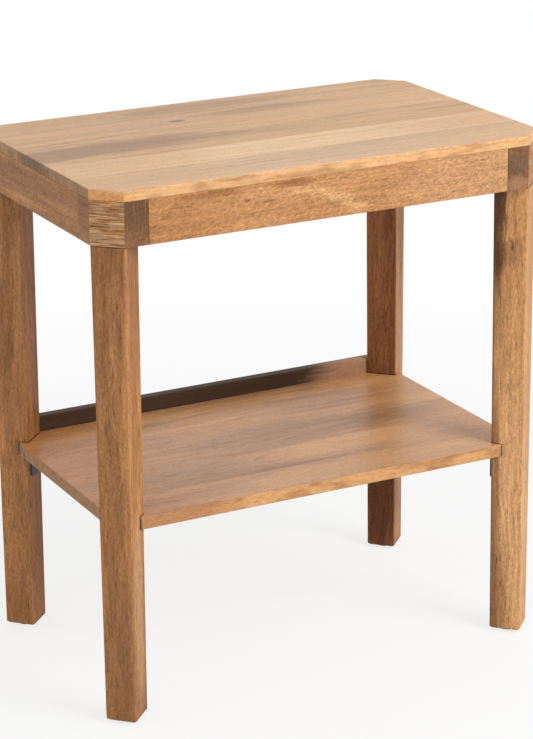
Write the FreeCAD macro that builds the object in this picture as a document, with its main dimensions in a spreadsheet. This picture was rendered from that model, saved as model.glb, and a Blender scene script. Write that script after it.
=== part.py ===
import FreeCAD, Part
import math
import os

import Sketcher

# Side table: a thin clipped-corner top on a shallow frame, four square legs turned 45 degrees
# under corner blocks, and a low shelf notched round the legs with a rail along its back edge.
# Millimetres. X runs along the table, Y from front to back and Z up. The origin is on the
# floor, midway between the feet.

# Driving dimensions: name, value, what it is
SIZES = (
    ("table_width", 560.0, "overall length along X"),
    ("table_depth", 350.0, "overall depth along Y"),
    ("table_height", 615.0, "floor to the face of the top"),
    ("top_thickness", 12.0, "thickness of the top boards"),
    ("top_edge_round", 1.5, "rounding of the top's upper edge"),
    ("seam_arris", 0.5, "small bevel where the top meets the frame"),
    ("top_seam_a_share", 0.205, "first seam of the top, as a share of its depth"),
    ("top_seam_b_share", 0.38, "second seam of the top"),
    ("top_seam_c_share", 0.64, "third seam of the top"),
    ("top_seam_d_share", 0.82, "fourth seam of the top"),
    ("apron_height", 50.0, "height of the aprons and corner blocks"),
    ("apron_thickness", 22.0, "thickness of the aprons"),
    ("frame_edge_round", 1.0, "rounding of the frame's outer edges"),
    ("leg_width", 40.0, "leg at its top, across the clipped corner"),
    ("leg_depth", 40.0, "leg at its top, from the clipped corner inwards"),
    ("leg_foot_width", 36.0, "leg at its foot, across the clipped corner"),
    ("leg_foot_depth", 37.0, "leg at its foot, from the clipped corner inwards"),
    ("leg_edge_round", 2.0, "rounding of the leg's long edges"),
    ("leg_top_bevel", 0.8, "bevel round the leg's top, seen as a dark line under the block"),
    ("foot_bevel", 2.0, "bevel round the leg's foot"),
    ("shelf_height", 240.0, "floor to the face of the shelf"),
    ("shelf_thickness", 15.0, "thickness of the shelf boards"),
    ("shelf_setback", 18.0, "shelf edge in from the front and the ends"),
    ("shelf_edge_round", 1.0, "rounding of the shelf's edges"),
    ("shelf_seam_a_share", 0.185, "first seam of the shelf, as a share of its depth"),
    ("shelf_seam_b_share", 0.375, "second seam of the shelf"),
    ("shelf_seam_c_share", 0.565, "third seam of the shelf"),
    ("shelf_seam_d_share", 0.745, "fourth seam of the shelf"),
    ("notch_gap", 0.5, "gap all round where the shelf or its rail meets a leg"),
    ("rail_rise", 19.0, "rail above the face of the shelf"),
    ("rail_thickness", 14.0, "thickness of the rear rail"),
    ("rail_setback", 12.0, "back of the rail in from the back of the table"),
    ("rail_rebate", 4.0, "how far the shelf's back edge is let into the rail"),
    ("rail_edge_round", 2.0, "rounding of the rail's top edges"),
    ("bracket_arm", 30.0, "length of each arm of the angle brackets"),
    ("bracket_width", 29.0, "width of the angle brackets"),
    ("bracket_metal", 2.0, "thickness of the brackets' metal"),
    ("bracket_bend", 2.0, "inside radius of the brackets' bend"),
    ("bracket_corner_round", 4.0, "rounding of the arms' ends"),
    ("bracket_hole_reach", 18.0, "bracket holes from the bend"),
    ("screw_length", 12.0, "length of the bracket screws under their heads"),
    ("screw_diameter", 4.0, "diameter of the bracket screws"),
    ("screw_head_diameter", 8.0, "diameter of their pan heads"),
    ("screw_head_height", 2.4, "height of their heads"),
    ("screw_point", 4.0, "length of the screws' points"),
    ("tenon_length", 20.0, "reach of the aprons' tenons into the corner blocks"),
    ("tenon_thickness", 10.0, "thickness of the tenons"),
    ("tenon_height", 34.0, "height of the tenons"),
    ("tenon_gap", 0.1, "gap round a tenon in its mortise"),
    ("bolt_diameter", 8.0, "diameter of the hanger bolts"),
    ("bolt_in_leg", 34.0, "length of a hanger bolt in the leg"),
    ("bolt_in_block", 26.0, "length of a hanger bolt in the block"),
    ("bolt_point", 6.0, "length of a hanger bolt's point"),
    ("bolt_bevel", 0.8, "bevel at a hanger bolt's upper end"),
    ("insert_diameter", 12.0, "outside diameter of the threaded inserts"),
    ("insert_length", 20.0, "length of the threaded inserts"),
    ("glide_diameter", 24.0, "diameter of the stick-on foot glides"),
    ("glide_thickness", 3.0, "thickness of the foot glides"),
    ("glide_edge", 1.0, "bevel round the glides' lower edge"),
    ("hole_gap", 0.1, "radial gap of what sits in a drilled hole, and beyond its end"),
    ("overrun", 5.0, "how far cuts run past the faces that they cross"),
)

# Formulas that several pieces share, in the sheet's terms
ROOT_TWO = "sqrt(2)"
HALF_WIDTH = "(sizes.table_width / 2)"
HALF_DEPTH = "(sizes.table_depth / 2)"
CLIP = f"(sizes.leg_width / {ROOT_TWO})"
BLOCK_SIDE = f"({CLIP} + sizes.leg_depth / {ROOT_TWO})"
FRAME_TOP = "(sizes.table_height - sizes.top_thickness)"
FRAME_BOTTOM = f"({FRAME_TOP} - sizes.apron_height)"
LEG_LENGTH = f"({FRAME_BOTTOM} - sizes.glide_thickness)"
SHELF_BOTTOM = "(sizes.shelf_height - sizes.shelf_thickness)"
RAIL_TOP = "(sizes.shelf_height + sizes.rail_rise)"
RAIL_BACK = f"({HALF_DEPTH} - sizes.rail_setback)"
RAIL_FRONT = f"({RAIL_BACK} - sizes.rail_thickness)"
SHELF_FRONT = f"(-{HALF_DEPTH} + sizes.shelf_setback)"
SHELF_BACK = f"({RAIL_FRONT} + sizes.rail_rebate)"
SHELF_DEPTH = f"({SHELF_BACK} - {SHELF_FRONT})"
BRACKET_HOLE_HEIGHT = f"({SHELF_BOTTOM} - sizes.bracket_hole_reach)"
SCREW_HOLE = "(sizes.screw_diameter + 2 * sizes.hole_gap)"

# Each corner: its sign along X, its sign along Y, and the leg's turn about Z in degrees
CORNERS = {
    "front_left": (-1, -1, 45),
    "front_right": (1, -1, 135),
    "rear_right": (1, 1, 225),
    "rear_left": (-1, 1, 315),
}
QUARTER_TURN = 90
HALF_TURN = 180
FULL_TURN = 360
TURN_TO_BLOCK = -45
HEAD_CROWN_SHARE = 0.6
UPRIGHT_SHARE = 0.999
SAME_PLACE = 1e-4

# A sketch numbers the points of its lines and arcs: none, the start, the end and the middle
_, START, END, MIDDLE = range(4)

doc = FreeCAD.newDocument("side_table")
parts = []


def make_sheet():
    """The spreadsheet of driving dimensions, one row each: name, value and note."""
    sheet = doc.addObject("Spreadsheet::Sheet", "sizes")
    for row, (name, size, note) in enumerate(SIZES, start=1):
        sheet.set(f"A{row}", name)
        sheet.set(f"B{row}", str(size))
        sheet.set(f"C{row}", note)
        sheet.setAlias(f"B{row}", name)
    doc.recompute()
    return sheet


def value(formula):
    """What a formula comes to now, as a plain number."""
    result = sheet.evalExpression(formula)
    return float(getattr(result, "Value", result))


def leg_size_at(size, height):
    """Formula for the leg's width or depth at a height above the floor."""
    foot = f"sizes.leg_foot_{size}"
    above_bevel = f"({height} - sizes.glide_thickness - sizes.foot_bevel)"
    tapered = f"({LEG_LENGTH} - sizes.foot_bevel - sizes.leg_top_bevel)"
    return f"({foot} + (sizes.leg_{size} - {foot}) * {above_bevel} / {tapered})"


def corner_point(corner, inward, sideways="0"):
    """Formulas for X and Y of a point inward from the middle of a clipped corner, and sideways."""
    sign_x, sign_y, _ = CORNERS[corner]
    x = (
        f"{sign_x} * ({HALF_WIDTH} - {CLIP} / 2 - ({inward}) / {ROOT_TWO})"
        f" + {sign_y} * ({sideways}) / {ROOT_TWO}"
    )
    y = (
        f"{sign_y} * ({HALF_DEPTH} - {CLIP} / 2 - ({inward}) / {ROOT_TWO})"
        f" - {sign_x} * ({sideways}) / {ROOT_TWO}"
    )
    return x, y


def turn(degrees, axis=(0, 0, 1)):
    return FreeCAD.Rotation(FreeCAD.Vector(*axis), degrees)


def place(thing, x, y, z, rotation=None):
    """Puts an object at a point whose coordinates are formulas."""
    thing.Placement = FreeCAD.Placement(FreeCAD.Vector(), rotation or FreeCAD.Rotation())
    thing.setExpression("Placement.Base.x", x)
    thing.setExpression("Placement.Base.y", y)
    thing.setExpression("Placement.Base.z", z)
    return thing


def keep(thing, label):
    """Names a finished sub-part and puts it on the list that is written out."""
    thing.Label = label
    parts.append(thing)
    return thing


# Sketches and features


def new_body(name):
    return doc.addObject("PartDesign::Body", name)


def new_sketch(body, name, plane, offset=None):
    """An empty sketch on one of the body's own origin planes, moved along its normal."""
    sketch = body.newObject("Sketcher::SketchObject", f"{body.Name}_{name}")
    support = next(f for f in body.Origin.OriginFeatures if f.Role == plane)
    sketch.AttachmentSupport = [(support, "")]
    sketch.MapMode = "FlatFace"
    if offset:
        sketch.setExpression("AttachmentOffset.Base.z", offset)
    return sketch


def bind(sketch, constraint, size_name, formula):
    """Adds a constraint and ties its size to a formula."""
    number = sketch.addConstraint(constraint)
    sketch.renameConstraint(number, f"{size_name}_{number}")
    sketch.setExpression(f"Constraints.{size_name}_{number}", formula)


def pin_point(sketch, line, point, across, up):
    """Ties a point of a line or circle to two formulas, measured from the sketch's origin."""
    for kind, formula in (("DistanceX", across), ("DistanceY", up)):
        size = Sketcher.Constraint(kind, line, point, value(formula))
        bind(sketch, size, kind.lower(), formula)


def draw_outline(sketch, corners):
    """A closed outline of straight lines whose corners are pairs of formulas."""
    points = [FreeCAD.Vector(value(across), value(up), 0) for across, up in corners]
    first = sketch.GeometryCount
    for start, end in zip(points, points[1:] + points[:1]):
        sketch.addGeometry(Part.LineSegment(start, end), False)
    for index in range(len(points)):
        following = first + (index + 1) % len(points)
        sketch.addConstraint(Sketcher.Constraint("Coincident", first + index, END, following, START))
    for index, (across, up) in enumerate(corners):
        pin_point(sketch, first + index, START, across, up)


def draw_rounded(sketch, left, right, low, high, radius):
    """A closed rectangle with rounded corners, its sides and the radius given as formulas."""
    centres = [
        (f"{left} + {radius}", f"{low} + {radius}"),
        (f"{right} - {radius}", f"{low} + {radius}"),
        (f"{right} - {radius}", f"{high} - {radius}"),
        (f"{left} + {radius}", f"{high} - {radius}"),
    ]
    size = value(radius)
    arcs = []
    for index, (across, up) in enumerate(centres):
        centre = FreeCAD.Vector(value(across), value(up), 0)
        circle = Part.Circle(centre, FreeCAD.Vector(0, 0, 1), size)
        begin = math.radians(QUARTER_TURN * (index + 2))
        arcs.append(Part.ArcOfCircle(circle, begin, begin + math.radians(QUARTER_TURN)))
    corners = []
    for index, arc in enumerate(arcs):
        corners.append(sketch.addGeometry(arc, False))
        following = arcs[(index + 1) % len(arcs)]
        sketch.addGeometry(Part.LineSegment(arc.EndPoint, following.StartPoint), False)
    count = sketch.GeometryCount
    for index in range(count):
        following = (index + 1) % count
        sketch.addConstraint(Sketcher.Constraint("Tangent", index, END, following, START))
    for corner, (across, up) in zip(corners, centres):
        bind(sketch, Sketcher.Constraint("Radius", corner, size), "radius", radius)
        pin_point(sketch, corner, MIDDLE, across, up)


def draw_circles(sketch, centres, diameter):
    """Circles of one diameter whose centres are pairs of formulas."""
    for across, up in centres:
        centre = FreeCAD.Vector(value(across), value(up), 0)
        circle = Part.Circle(centre, FreeCAD.Vector(0, 0, 1), value(diameter) / 2)
        number = sketch.addGeometry(circle, False)
        size = Sketcher.Constraint("Diameter", number, value(diameter))
        bind(sketch, size, "diameter", diameter)
        pin_point(sketch, number, MIDDLE, across, up)


def rectangle(left, right, low, high):
    return [(left, low), (right, low), (right, high), (left, high)]


def pad(body, sketch, length):
    feature = body.newObject("PartDesign::Pad", f"{sketch.Name}_pad")
    feature.Profile = sketch
    feature.setExpression("Length", length)
    sketch.Visibility = False
    doc.recompute()
    return feature


def pocket(body, sketch, depth, along_normal=False):
    """Cuts a sketch into the body, against its normal unless told otherwise."""
    before = body.Shape.Volume
    feature = body.newObject("PartDesign::Pocket", f"{sketch.Name}_pocket")
    feature.Profile = sketch
    feature.setExpression("Length", depth)
    feature.Reversed = along_normal
    doc.recompute()
    if body.Shape.Volume >= before:
        raise RuntimeError(f"{feature.Name} cuts nothing")
    return feature


def revolve(body, sketch):
    """Turns a half profile about the sketch's upright axis."""
    feature = body.newObject("PartDesign::Revolution", f"{sketch.Name}_revolution")
    feature.Profile = sketch
    feature.ReferenceAxis = (sketch, ["V_Axis"])
    feature.Angle = FULL_TURN
    doc.recompute()
    return feature


def edge_names(feature, wanted):
    """The names of a feature's edges for which a test is true."""
    edges = enumerate(feature.Shape.Edges, start=1)
    return [f"Edge{number}" for number, edge in edges if wanted(edge)]


def soften(body, kind, size, wanted):
    """A Fillet or Chamfer of one size on the edges that pass a test."""
    base = body.Tip
    feature = body.newObject(f"PartDesign::{kind}", f"{body.Name}_{kind.lower()}")
    feature.Base = (base, edge_names(base, wanted))
    feature.setExpression("Radius" if kind == "Fillet" else "Size", size)
    doc.recompute()
    return feature


def is_upright(edge):
    return edge.BoundBox.ZLength > edge.Length * UPRIGHT_SHARE


def middle(edge):
    return edge.BoundBox.Center


def lies_flat_at(height):
    """A test for edges that lie level at a height."""

    def wanted(edge):
        box = edge.BoundBox
        return abs(box.ZMin - height) < SAME_PLACE and abs(box.ZMax - height) < SAME_PLACE

    return wanted


# Edge-glued panels


def split_into_boards(blank, label, seams, bottom, thickness):
    """Cuts a panel into boards along X; seams are formulas for Y, front to back."""
    for number, (front, back) in enumerate(zip(seams, seams[1:]), start=1):
        strip = doc.addObject("Part::Box", f"{label}_strip_{number}")
        strip.setExpression("Length", "sizes.table_width + 2 * sizes.overrun")
        strip.setExpression("Width", f"({back}) - ({front})")
        strip.setExpression("Height", f"{thickness} + 2 * sizes.overrun")
        place(strip, f"-{HALF_WIDTH} - sizes.overrun", front, f"{bottom} - sizes.overrun")
        board = doc.addObject("Part::Common", f"{label}_{number}")
        board.Base = blank
        board.Tool = strip
        keep(board, f"{label}_{number}")


def seam_list(front, depth, panel):
    """The panel's front, its four seams and its back, the outer two run past the edges."""
    inner = [f"{front} + {depth} * sizes.{panel}_seam_{letter}_share" for letter in "abcd"]
    return [f"{front} - sizes.overrun"] + inner + [f"{front} + {depth} + sizes.overrun"]


def make_top():
    """Five boards with clipped corners, a rounded upper edge and a fine bevel below."""
    blank = new_body("top_blank")
    outline = new_sketch(blank, "outline", "XY_Plane")
    draw_outline(
        outline,
        [
            (f"-{HALF_WIDTH} + {CLIP}", f"-{HALF_DEPTH}"),
            (f"{HALF_WIDTH} - {CLIP}", f"-{HALF_DEPTH}"),
            (HALF_WIDTH, f"-{HALF_DEPTH} + {CLIP}"),
            (HALF_WIDTH, f"{HALF_DEPTH} - {CLIP}"),
            (f"{HALF_WIDTH} - {CLIP}", HALF_DEPTH),
            (f"-{HALF_WIDTH} + {CLIP}", HALF_DEPTH),
            (f"-{HALF_WIDTH}", f"{HALF_DEPTH} - {CLIP}"),
            (f"-{HALF_WIDTH}", f"-{HALF_DEPTH} + {CLIP}"),
        ],
    )
    pad(blank, outline, "sizes.top_thickness")
    soften(blank, "Fillet", "sizes.top_edge_round", lies_flat_at(value("sizes.top_thickness")))
    soften(blank, "Chamfer", "sizes.seam_arris", lies_flat_at(0))
    place(blank, "0", "0", FRAME_TOP)
    seams = seam_list(f"-{HALF_DEPTH}", "sizes.table_depth", "top")
    split_into_boards(blank, "top_board", seams, FRAME_TOP, "sizes.top_thickness")


def make_shelf():
    """Five boards, notched round the legs and drilled from below for the brackets."""
    blank = new_body("shelf_blank")
    outline = new_sketch(blank, "outline", "XY_Plane")
    side = f"({HALF_WIDTH} - sizes.shelf_setback)"
    draw_outline(outline, rectangle(f"-{side}", side, SHELF_FRONT, SHELF_BACK))
    pad(blank, outline, "sizes.shelf_thickness")
    back = value(SHELF_BACK)
    soften(
        blank,
        "Fillet",
        "sizes.shelf_edge_round",
        lambda edge: not is_upright(edge) and middle(edge).y < back - SAME_PLACE,
    )
    notches = new_sketch(blank, "notches", "XY_Plane", "sizes.shelf_thickness")
    reach = f"({leg_size_at('depth', 'sizes.shelf_height')} + sizes.notch_gap)"
    half = f"({leg_size_at('width', 'sizes.shelf_height')} / 2 + sizes.notch_gap)"
    for corner in CORNERS:
        draw_outline(
            notches,
            [
                corner_point(corner, "-sizes.leg_depth", f"-{half}"),
                corner_point(corner, reach, f"-{half}"),
                corner_point(corner, reach, half),
                corner_point(corner, "-sizes.leg_depth", half),
            ],
        )
    pocket(blank, notches, "sizes.shelf_thickness + sizes.overrun")
    screw_holes = new_sketch(blank, "screw_holes", "XY_Plane")
    centres = [corner_point(corner, bracket_reach()) for corner in CORNERS]
    draw_circles(screw_holes, centres, SCREW_HOLE)
    depth = "sizes.screw_length - sizes.bracket_metal + sizes.hole_gap"
    pocket(blank, screw_holes, depth, along_normal=True)
    place(blank, "0", "0", SHELF_BOTTOM)
    seams = seam_list(SHELF_FRONT, SHELF_DEPTH, "shelf")
    split_into_boards(blank, "shelf_board", seams, SHELF_BOTTOM, "sizes.shelf_thickness")


# Frame under the top


def tenon(size):
    return f"sizes.tenon_{size}"


def tenon_faces(gap):
    """Formulas for a tenon's two faces, from the apron's outer face, with a gap on each side."""
    near = f"(sizes.apron_thickness - {tenon('thickness')}) / 2 - {gap}"
    far = f"(sizes.apron_thickness + {tenon('thickness')}) / 2 + {gap}"
    return near, far


def make_apron(label, length, rotation, x, y):
    """A board with a tenon at each end, its outer face on the body's X axis."""
    body = new_body(label)
    outline = new_sketch(body, "outline", "XY_Plane")
    half = f"({length}) / 2"
    draw_outline(outline, rectangle(f"-{half}", half, "0", "sizes.apron_thickness"))
    pad(body, outline, "sizes.apron_height")
    soften(
        body,
        "Fillet",
        "sizes.frame_edge_round",
        lambda edge: lies_flat_at(0)(edge) and abs(middle(edge).y) < SAME_PLACE,
    )
    tenons = new_sketch(body, "tenons", "XY_Plane", f"(sizes.apron_height - {tenon('height')}) / 2")
    reach = f"({half} + sizes.tenon_length)"
    near, far = tenon_faces("0")
    draw_outline(tenons, rectangle(f"-{reach}", reach, near, far))
    pad(body, tenons, tenon("height"))
    place(body, x, y, FRAME_BOTTOM, turn(rotation))
    return keep(body, label)


def make_aprons():
    long_length = f"sizes.table_width - 2 * {BLOCK_SIDE}"
    short_length = f"sizes.table_depth - 2 * {BLOCK_SIDE}"
    make_apron("front_apron", long_length, 0, "0", f"-{HALF_DEPTH}")
    make_apron("rear_apron", long_length, HALF_TURN, "0", HALF_DEPTH)
    make_apron("right_apron", short_length, QUARTER_TURN, HALF_WIDTH, "0")
    make_apron("left_apron", short_length, -QUARTER_TURN, f"-{HALF_WIDTH}", "0")


def make_block(corner):
    """A corner block as wide as the turned leg, clipped, with two mortises and the insert's hole."""
    sign_x, sign_y, leg_turn = CORNERS[corner]
    body = new_body(f"{corner}_block")
    outline = new_sketch(body, "outline", "XY_Plane")
    draw_outline(
        outline,
        [(CLIP, "0"), (BLOCK_SIDE, "0"), (BLOCK_SIDE, BLOCK_SIDE), ("0", BLOCK_SIDE), ("0", CLIP)],
    )
    pad(body, outline, "sizes.apron_height")
    reach = value(CLIP) + SAME_PLACE

    def on_outside(edge):
        spot = middle(edge)
        outer = spot.x + spot.y < reach or min(spot.x, spot.y) < SAME_PLACE
        is_corner = is_upright(edge) and max(spot.x, spot.y) < reach
        return is_corner or (outer and lies_flat_at(0)(edge))

    soften(body, "Fillet", "sizes.frame_edge_round", on_outside)
    near, far = tenon_faces("sizes.tenon_gap")
    half_height = f"({tenon('height')} / 2 + sizes.tenon_gap)"
    low = f"sizes.apron_height / 2 - {half_height}"
    high = f"sizes.apron_height / 2 + {half_height}"
    depth = f"{tenon('length')} + sizes.tenon_gap"
    long_mortise = new_sketch(body, "long_mortise", "YZ_Plane", BLOCK_SIDE)
    draw_outline(long_mortise, rectangle(near, far, low, high))
    pocket(body, long_mortise, depth)
    short_mortise = new_sketch(body, "short_mortise", "XZ_Plane", f"-{BLOCK_SIDE}")
    draw_outline(short_mortise, rectangle(near, far, low, high))
    pocket(body, short_mortise, depth, along_normal=True)
    insert_hole = new_sketch(body, "insert_hole", "XY_Plane")
    centre = [(f"{BLOCK_SIDE} / 2", f"{BLOCK_SIDE} / 2")]
    draw_circles(insert_hole, centre, "sizes.insert_diameter + 2 * sizes.hole_gap")
    insert_depth = "max(sizes.bolt_in_block; sizes.insert_length) + sizes.hole_gap"
    pocket(body, insert_hole, insert_depth, along_normal=True)
    x, y = f"{sign_x} * {HALF_WIDTH}", f"{sign_y} * {HALF_DEPTH}"
    place(body, x, y, FRAME_BOTTOM, turn(leg_turn + TURN_TO_BLOCK))
    return keep(body, f"{corner}_block")


# Legs


def make_leg(corner):
    """A square post, tapered on its inner faces, eased on its edges and bevelled at both ends."""
    body = new_body(f"{corner}_leg")
    sections = []
    for name, end, bevel, height in (
        ("sole", "leg_foot", "sizes.foot_bevel", "0"),
        ("foot", "leg_foot", "0", "sizes.foot_bevel"),
        ("head", "leg", "0", f"{LEG_LENGTH} - sizes.leg_top_bevel"),
        ("top", "leg", "sizes.leg_top_bevel", LEG_LENGTH),
    ):
        section = new_sketch(body, name, "XY_Plane", height)
        draw_rounded(
            section,
            bevel,
            f"sizes.{end}_depth - {bevel}",
            f"-sizes.{end}_width / 2 + {bevel}",
            f"sizes.{end}_width / 2 - {bevel}",
            "sizes.leg_edge_round",
        )
        sections.append(section)
    post = body.newObject("PartDesign::AdditiveLoft", f"{corner}_leg_post")
    post.Profile = sections[0]
    post.Sections = [(section, [""]) for section in sections[1:]]
    post.Ruled = True
    doc.recompute()
    bolt_hole = new_sketch(body, "bolt_hole", "XY_Plane", LEG_LENGTH)
    width = "sizes.bolt_diameter + 2 * sizes.hole_gap"
    draw_circles(bolt_hole, [("sizes.leg_depth / 2", "0")], width)
    pocket(body, bolt_hole, "sizes.bolt_in_leg + sizes.hole_gap")
    screw_hole = new_sketch(body, "screw_hole", "YZ_Plane", bracket_seat())
    height = f"{BRACKET_HOLE_HEIGHT} - sizes.glide_thickness"
    draw_circles(screw_hole, [("0", height)], SCREW_HOLE)
    pocket(body, screw_hole, "sizes.screw_length - sizes.bracket_metal + sizes.hole_gap")
    x, y = corner_point(corner, "0")
    place(body, x, y, "sizes.glide_thickness", turn(CORNERS[corner][2]))
    return keep(body, f"{corner}_leg")


def make_glide(corner):
    """A round glide stuck under the middle of a foot, its lower edge bevelled."""
    body = new_body(f"{corner}_glide")
    outline = new_sketch(body, "outline", "XY_Plane")
    draw_circles(outline, [("0", "0")], "sizes.glide_diameter")
    pad(body, outline, "sizes.glide_thickness")
    soften(body, "Chamfer", "sizes.glide_edge", lies_flat_at(0))
    x, y = corner_point(corner, "sizes.leg_foot_depth / 2")
    place(body, x, y, "0")
    return keep(body, f"{corner}_glide")


# Rear rail of the shelf


def rail_end(y):
    """Formula for X of the rail's right end at a Y, a notch gap clear of the turned leg."""
    leg_side = f"({leg_size_at('width', RAIL_TOP)} + 2 * sizes.notch_gap) / {ROOT_TWO}"
    return f"({HALF_WIDTH} - {leg_side} - {HALF_DEPTH} + {y})"


def make_rail():
    """A rail over the shelf's back edge, which is let into it, mitred against the turned legs."""
    body = new_body("rear_rail")
    for name, front, height, rise in (
        ("rebated_part", SHELF_BACK, "0", "sizes.shelf_thickness"),
        ("upstand", RAIL_FRONT, "sizes.shelf_thickness", "sizes.rail_rise"),
    ):
        outline = new_sketch(body, name, "XY_Plane", height)
        draw_outline(
            outline,
            [
                (f"-{rail_end(front)}", front),
                (rail_end(front), front),
                (rail_end(RAIL_BACK), RAIL_BACK),
                (f"-{rail_end(RAIL_BACK)}", RAIL_BACK),
            ],
        )
        pad(body, outline, rise)
    top = value("sizes.shelf_thickness + sizes.rail_rise")

    def along_the_top(edge):
        return lies_flat_at(top)(edge) and abs(middle(edge).x) < SAME_PLACE

    soften(body, "Fillet", "sizes.rail_edge_round", along_the_top)
    place(body, "0", "0", SHELF_BOTTOM)
    return keep(body, "rear_rail")


# Angle brackets under the shelf


def bracket_seat():
    """Formula for the leg's depth at the shelf's underside, where a bracket stands."""
    return leg_size_at("depth", SHELF_BOTTOM)


def bracket_reach():
    """Formula for a shelf screw's distance inward from the clipped corner."""
    return f"{bracket_seat()} + sizes.bracket_hole_reach"


def make_bracket(corner):
    """A bent steel angle: one arm on the leg's inner face, one under the shelf."""
    body = new_body(f"{corner}_bracket")
    profile = new_sketch(body, "profile", "XZ_Plane", "-sizes.bracket_width / 2")
    arm = "sizes.bracket_arm"
    metal = "sizes.bracket_metal"
    draw_outline(
        profile,
        [
            ("0", "0"),
            (arm, "0"),
            (arm, f"-{metal}"),
            (metal, f"-{metal}"),
            (metal, f"-{arm}"),
            ("0", f"-{arm}"),
        ],
    )
    pad(body, profile, "sizes.bracket_width")
    inside = FreeCAD.Vector(value(metal), 0, -value(metal))

    def is_bend_at(point):
        return lambda edge: (middle(edge) - point).Length < SAME_PLACE

    soften(body, "Fillet", "sizes.bracket_bend", is_bend_at(inside))
    outer_radius = "sizes.bracket_bend + sizes.bracket_metal"
    soften(body, "Fillet", outer_radius, is_bend_at(FreeCAD.Vector()))
    reach = value(arm)

    def is_arm_corner(edge):
        spot = middle(edge)
        at_end = spot.x > reach - SAME_PLACE or spot.z < -reach + SAME_PLACE
        return at_end and edge.Length < value(metal) + SAME_PLACE

    soften(body, "Fillet", "sizes.bracket_corner_round", is_arm_corner)
    leg_hole = new_sketch(body, "leg_hole", "YZ_Plane", metal)
    draw_circles(leg_hole, [("0", "-sizes.bracket_hole_reach")], SCREW_HOLE)
    pocket(body, leg_hole, f"{metal} + sizes.overrun")
    shelf_hole = new_sketch(body, "shelf_hole", "XY_Plane")
    draw_circles(shelf_hole, [("sizes.bracket_hole_reach", "0")], SCREW_HOLE)
    pocket(body, shelf_hole, f"{metal} + sizes.overrun")
    x, y = corner_point(corner, bracket_seat())
    place(body, x, y, SHELF_BOTTOM, turn(CORNERS[corner][2]))
    return keep(body, f"{corner}_bracket")


# Fasteners, each kind one node


def group(label, pattern, places):
    """One node of equal pieces: a link to the pattern at each place, gathered in a compound."""
    copies = []
    for number, (x, y, z, rotation) in enumerate(places, start=1):
        copy = doc.addObject("App::Link", f"{label}_{number}")
        copy.LinkedObject = pattern
        place(copy, x, y, z, rotation)
        copies.append(copy)
    compound = doc.addObject("Part::Compound", label)
    compound.Links = copies
    return keep(compound, label)


def turned_body(name, corners):
    """A body made by turning a half profile about Z."""
    body = new_body(name)
    profile = new_sketch(body, "profile", "XZ_Plane")
    draw_outline(profile, corners)
    revolve(body, profile)
    return body


def make_bracket_screws():
    """Pan-head screws, one through each arm of each bracket; at the origin their heads' seats."""
    shank = "sizes.screw_diameter / 2"
    head = "sizes.screw_head_diameter / 2"
    screw = turned_body(
        "bracket_screw",
        [
            ("0", "-sizes.screw_length"),
            (shank, "-sizes.screw_length + sizes.screw_point"),
            (shank, "0"),
            (head, "0"),
            (f"{head} * {HEAD_CROWN_SHARE}", "sizes.screw_head_height"),
            ("0", "sizes.screw_head_height"),
        ],
    )
    places = []
    for corner, (_, _, leg_turn) in CORNERS.items():
        x, y = corner_point(corner, f"{bracket_seat()} + sizes.bracket_metal")
        lying = turn(leg_turn) * turn(QUARTER_TURN, axis=(0, 1, 0))
        places.append((x, y, BRACKET_HOLE_HEIGHT, lying))
        x, y = corner_point(corner, bracket_reach())
        upside_down = turn(HALF_TURN, axis=(1, 0, 0))
        places.append((x, y, f"{SHELF_BOTTOM} - sizes.bracket_metal", upside_down))
    group("bracket_screws", screw, places)


def make_leg_fixings():
    """Hanger bolts screwed into the leg tops, and the threaded inserts that they run up into."""
    radius = "sizes.bolt_diameter / 2"
    bolt = turned_body(
        "leg_bolt",
        [
            ("0", "-sizes.bolt_in_leg"),
            (radius, "-sizes.bolt_in_leg + sizes.bolt_point"),
            (radius, "sizes.bolt_in_block - sizes.bolt_bevel"),
            (f"{radius} - sizes.bolt_bevel", "sizes.bolt_in_block"),
            ("0", "sizes.bolt_in_block"),
        ],
    )
    bore = f"({radius} + sizes.hole_gap)"
    outside = "sizes.insert_diameter / 2"
    insert = turned_body(
        "leg_insert",
        rectangle(bore, outside, "0", "sizes.insert_length"),
    )
    places = []
    for corner in CORNERS:
        x, y = corner_point(corner, "sizes.leg_depth / 2")
        places.append((x, y, FRAME_BOTTOM, FreeCAD.Rotation()))
    group("leg_bolts", bolt, places)
    group("leg_inserts", insert, places)


# Checks and files


def check_document():
    """Stops if any object failed to build."""
    for thing in doc.Objects:
        if "Invalid" in thing.State or "Error" in thing.State:
            raise RuntimeError(f"{thing.Name} failed: {thing.State}")


def write_parts():
    """Checks every sub-part's shape, then writes one STEP file for each."""
    shapes = [(thing.Label, Part.getShape(thing)) for thing in parts]
    for label, shape in shapes:
        if shape.isNull() or not shape.isValid() or not shape.Solids:
            raise RuntimeError(f"{label} has no sound shape")
    os.makedirs("parts", exist_ok=True)
    for label, shape in shapes:
        shape.exportStep(os.path.join("parts", f"{label}.step"))
    print(f"{len(shapes)} parts written")


sheet = make_sheet()
make_top()
make_aprons()
for corner in CORNERS:
    make_block(corner)
for corner in CORNERS:
    make_leg(corner)
make_shelf()
make_rail()
for corner in CORNERS:
    make_bracket(corner)
for corner in CORNERS:
    make_glide(corner)
make_leg_fixings()
make_bracket_screws()
doc.recompute()
check_document()
write_parts()
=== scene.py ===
"""Finishes a small oiled-wood side table and lights it in a plain pale studio."""

import math

import bpy
from mathutils import Euler, Matrix, Vector


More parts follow.
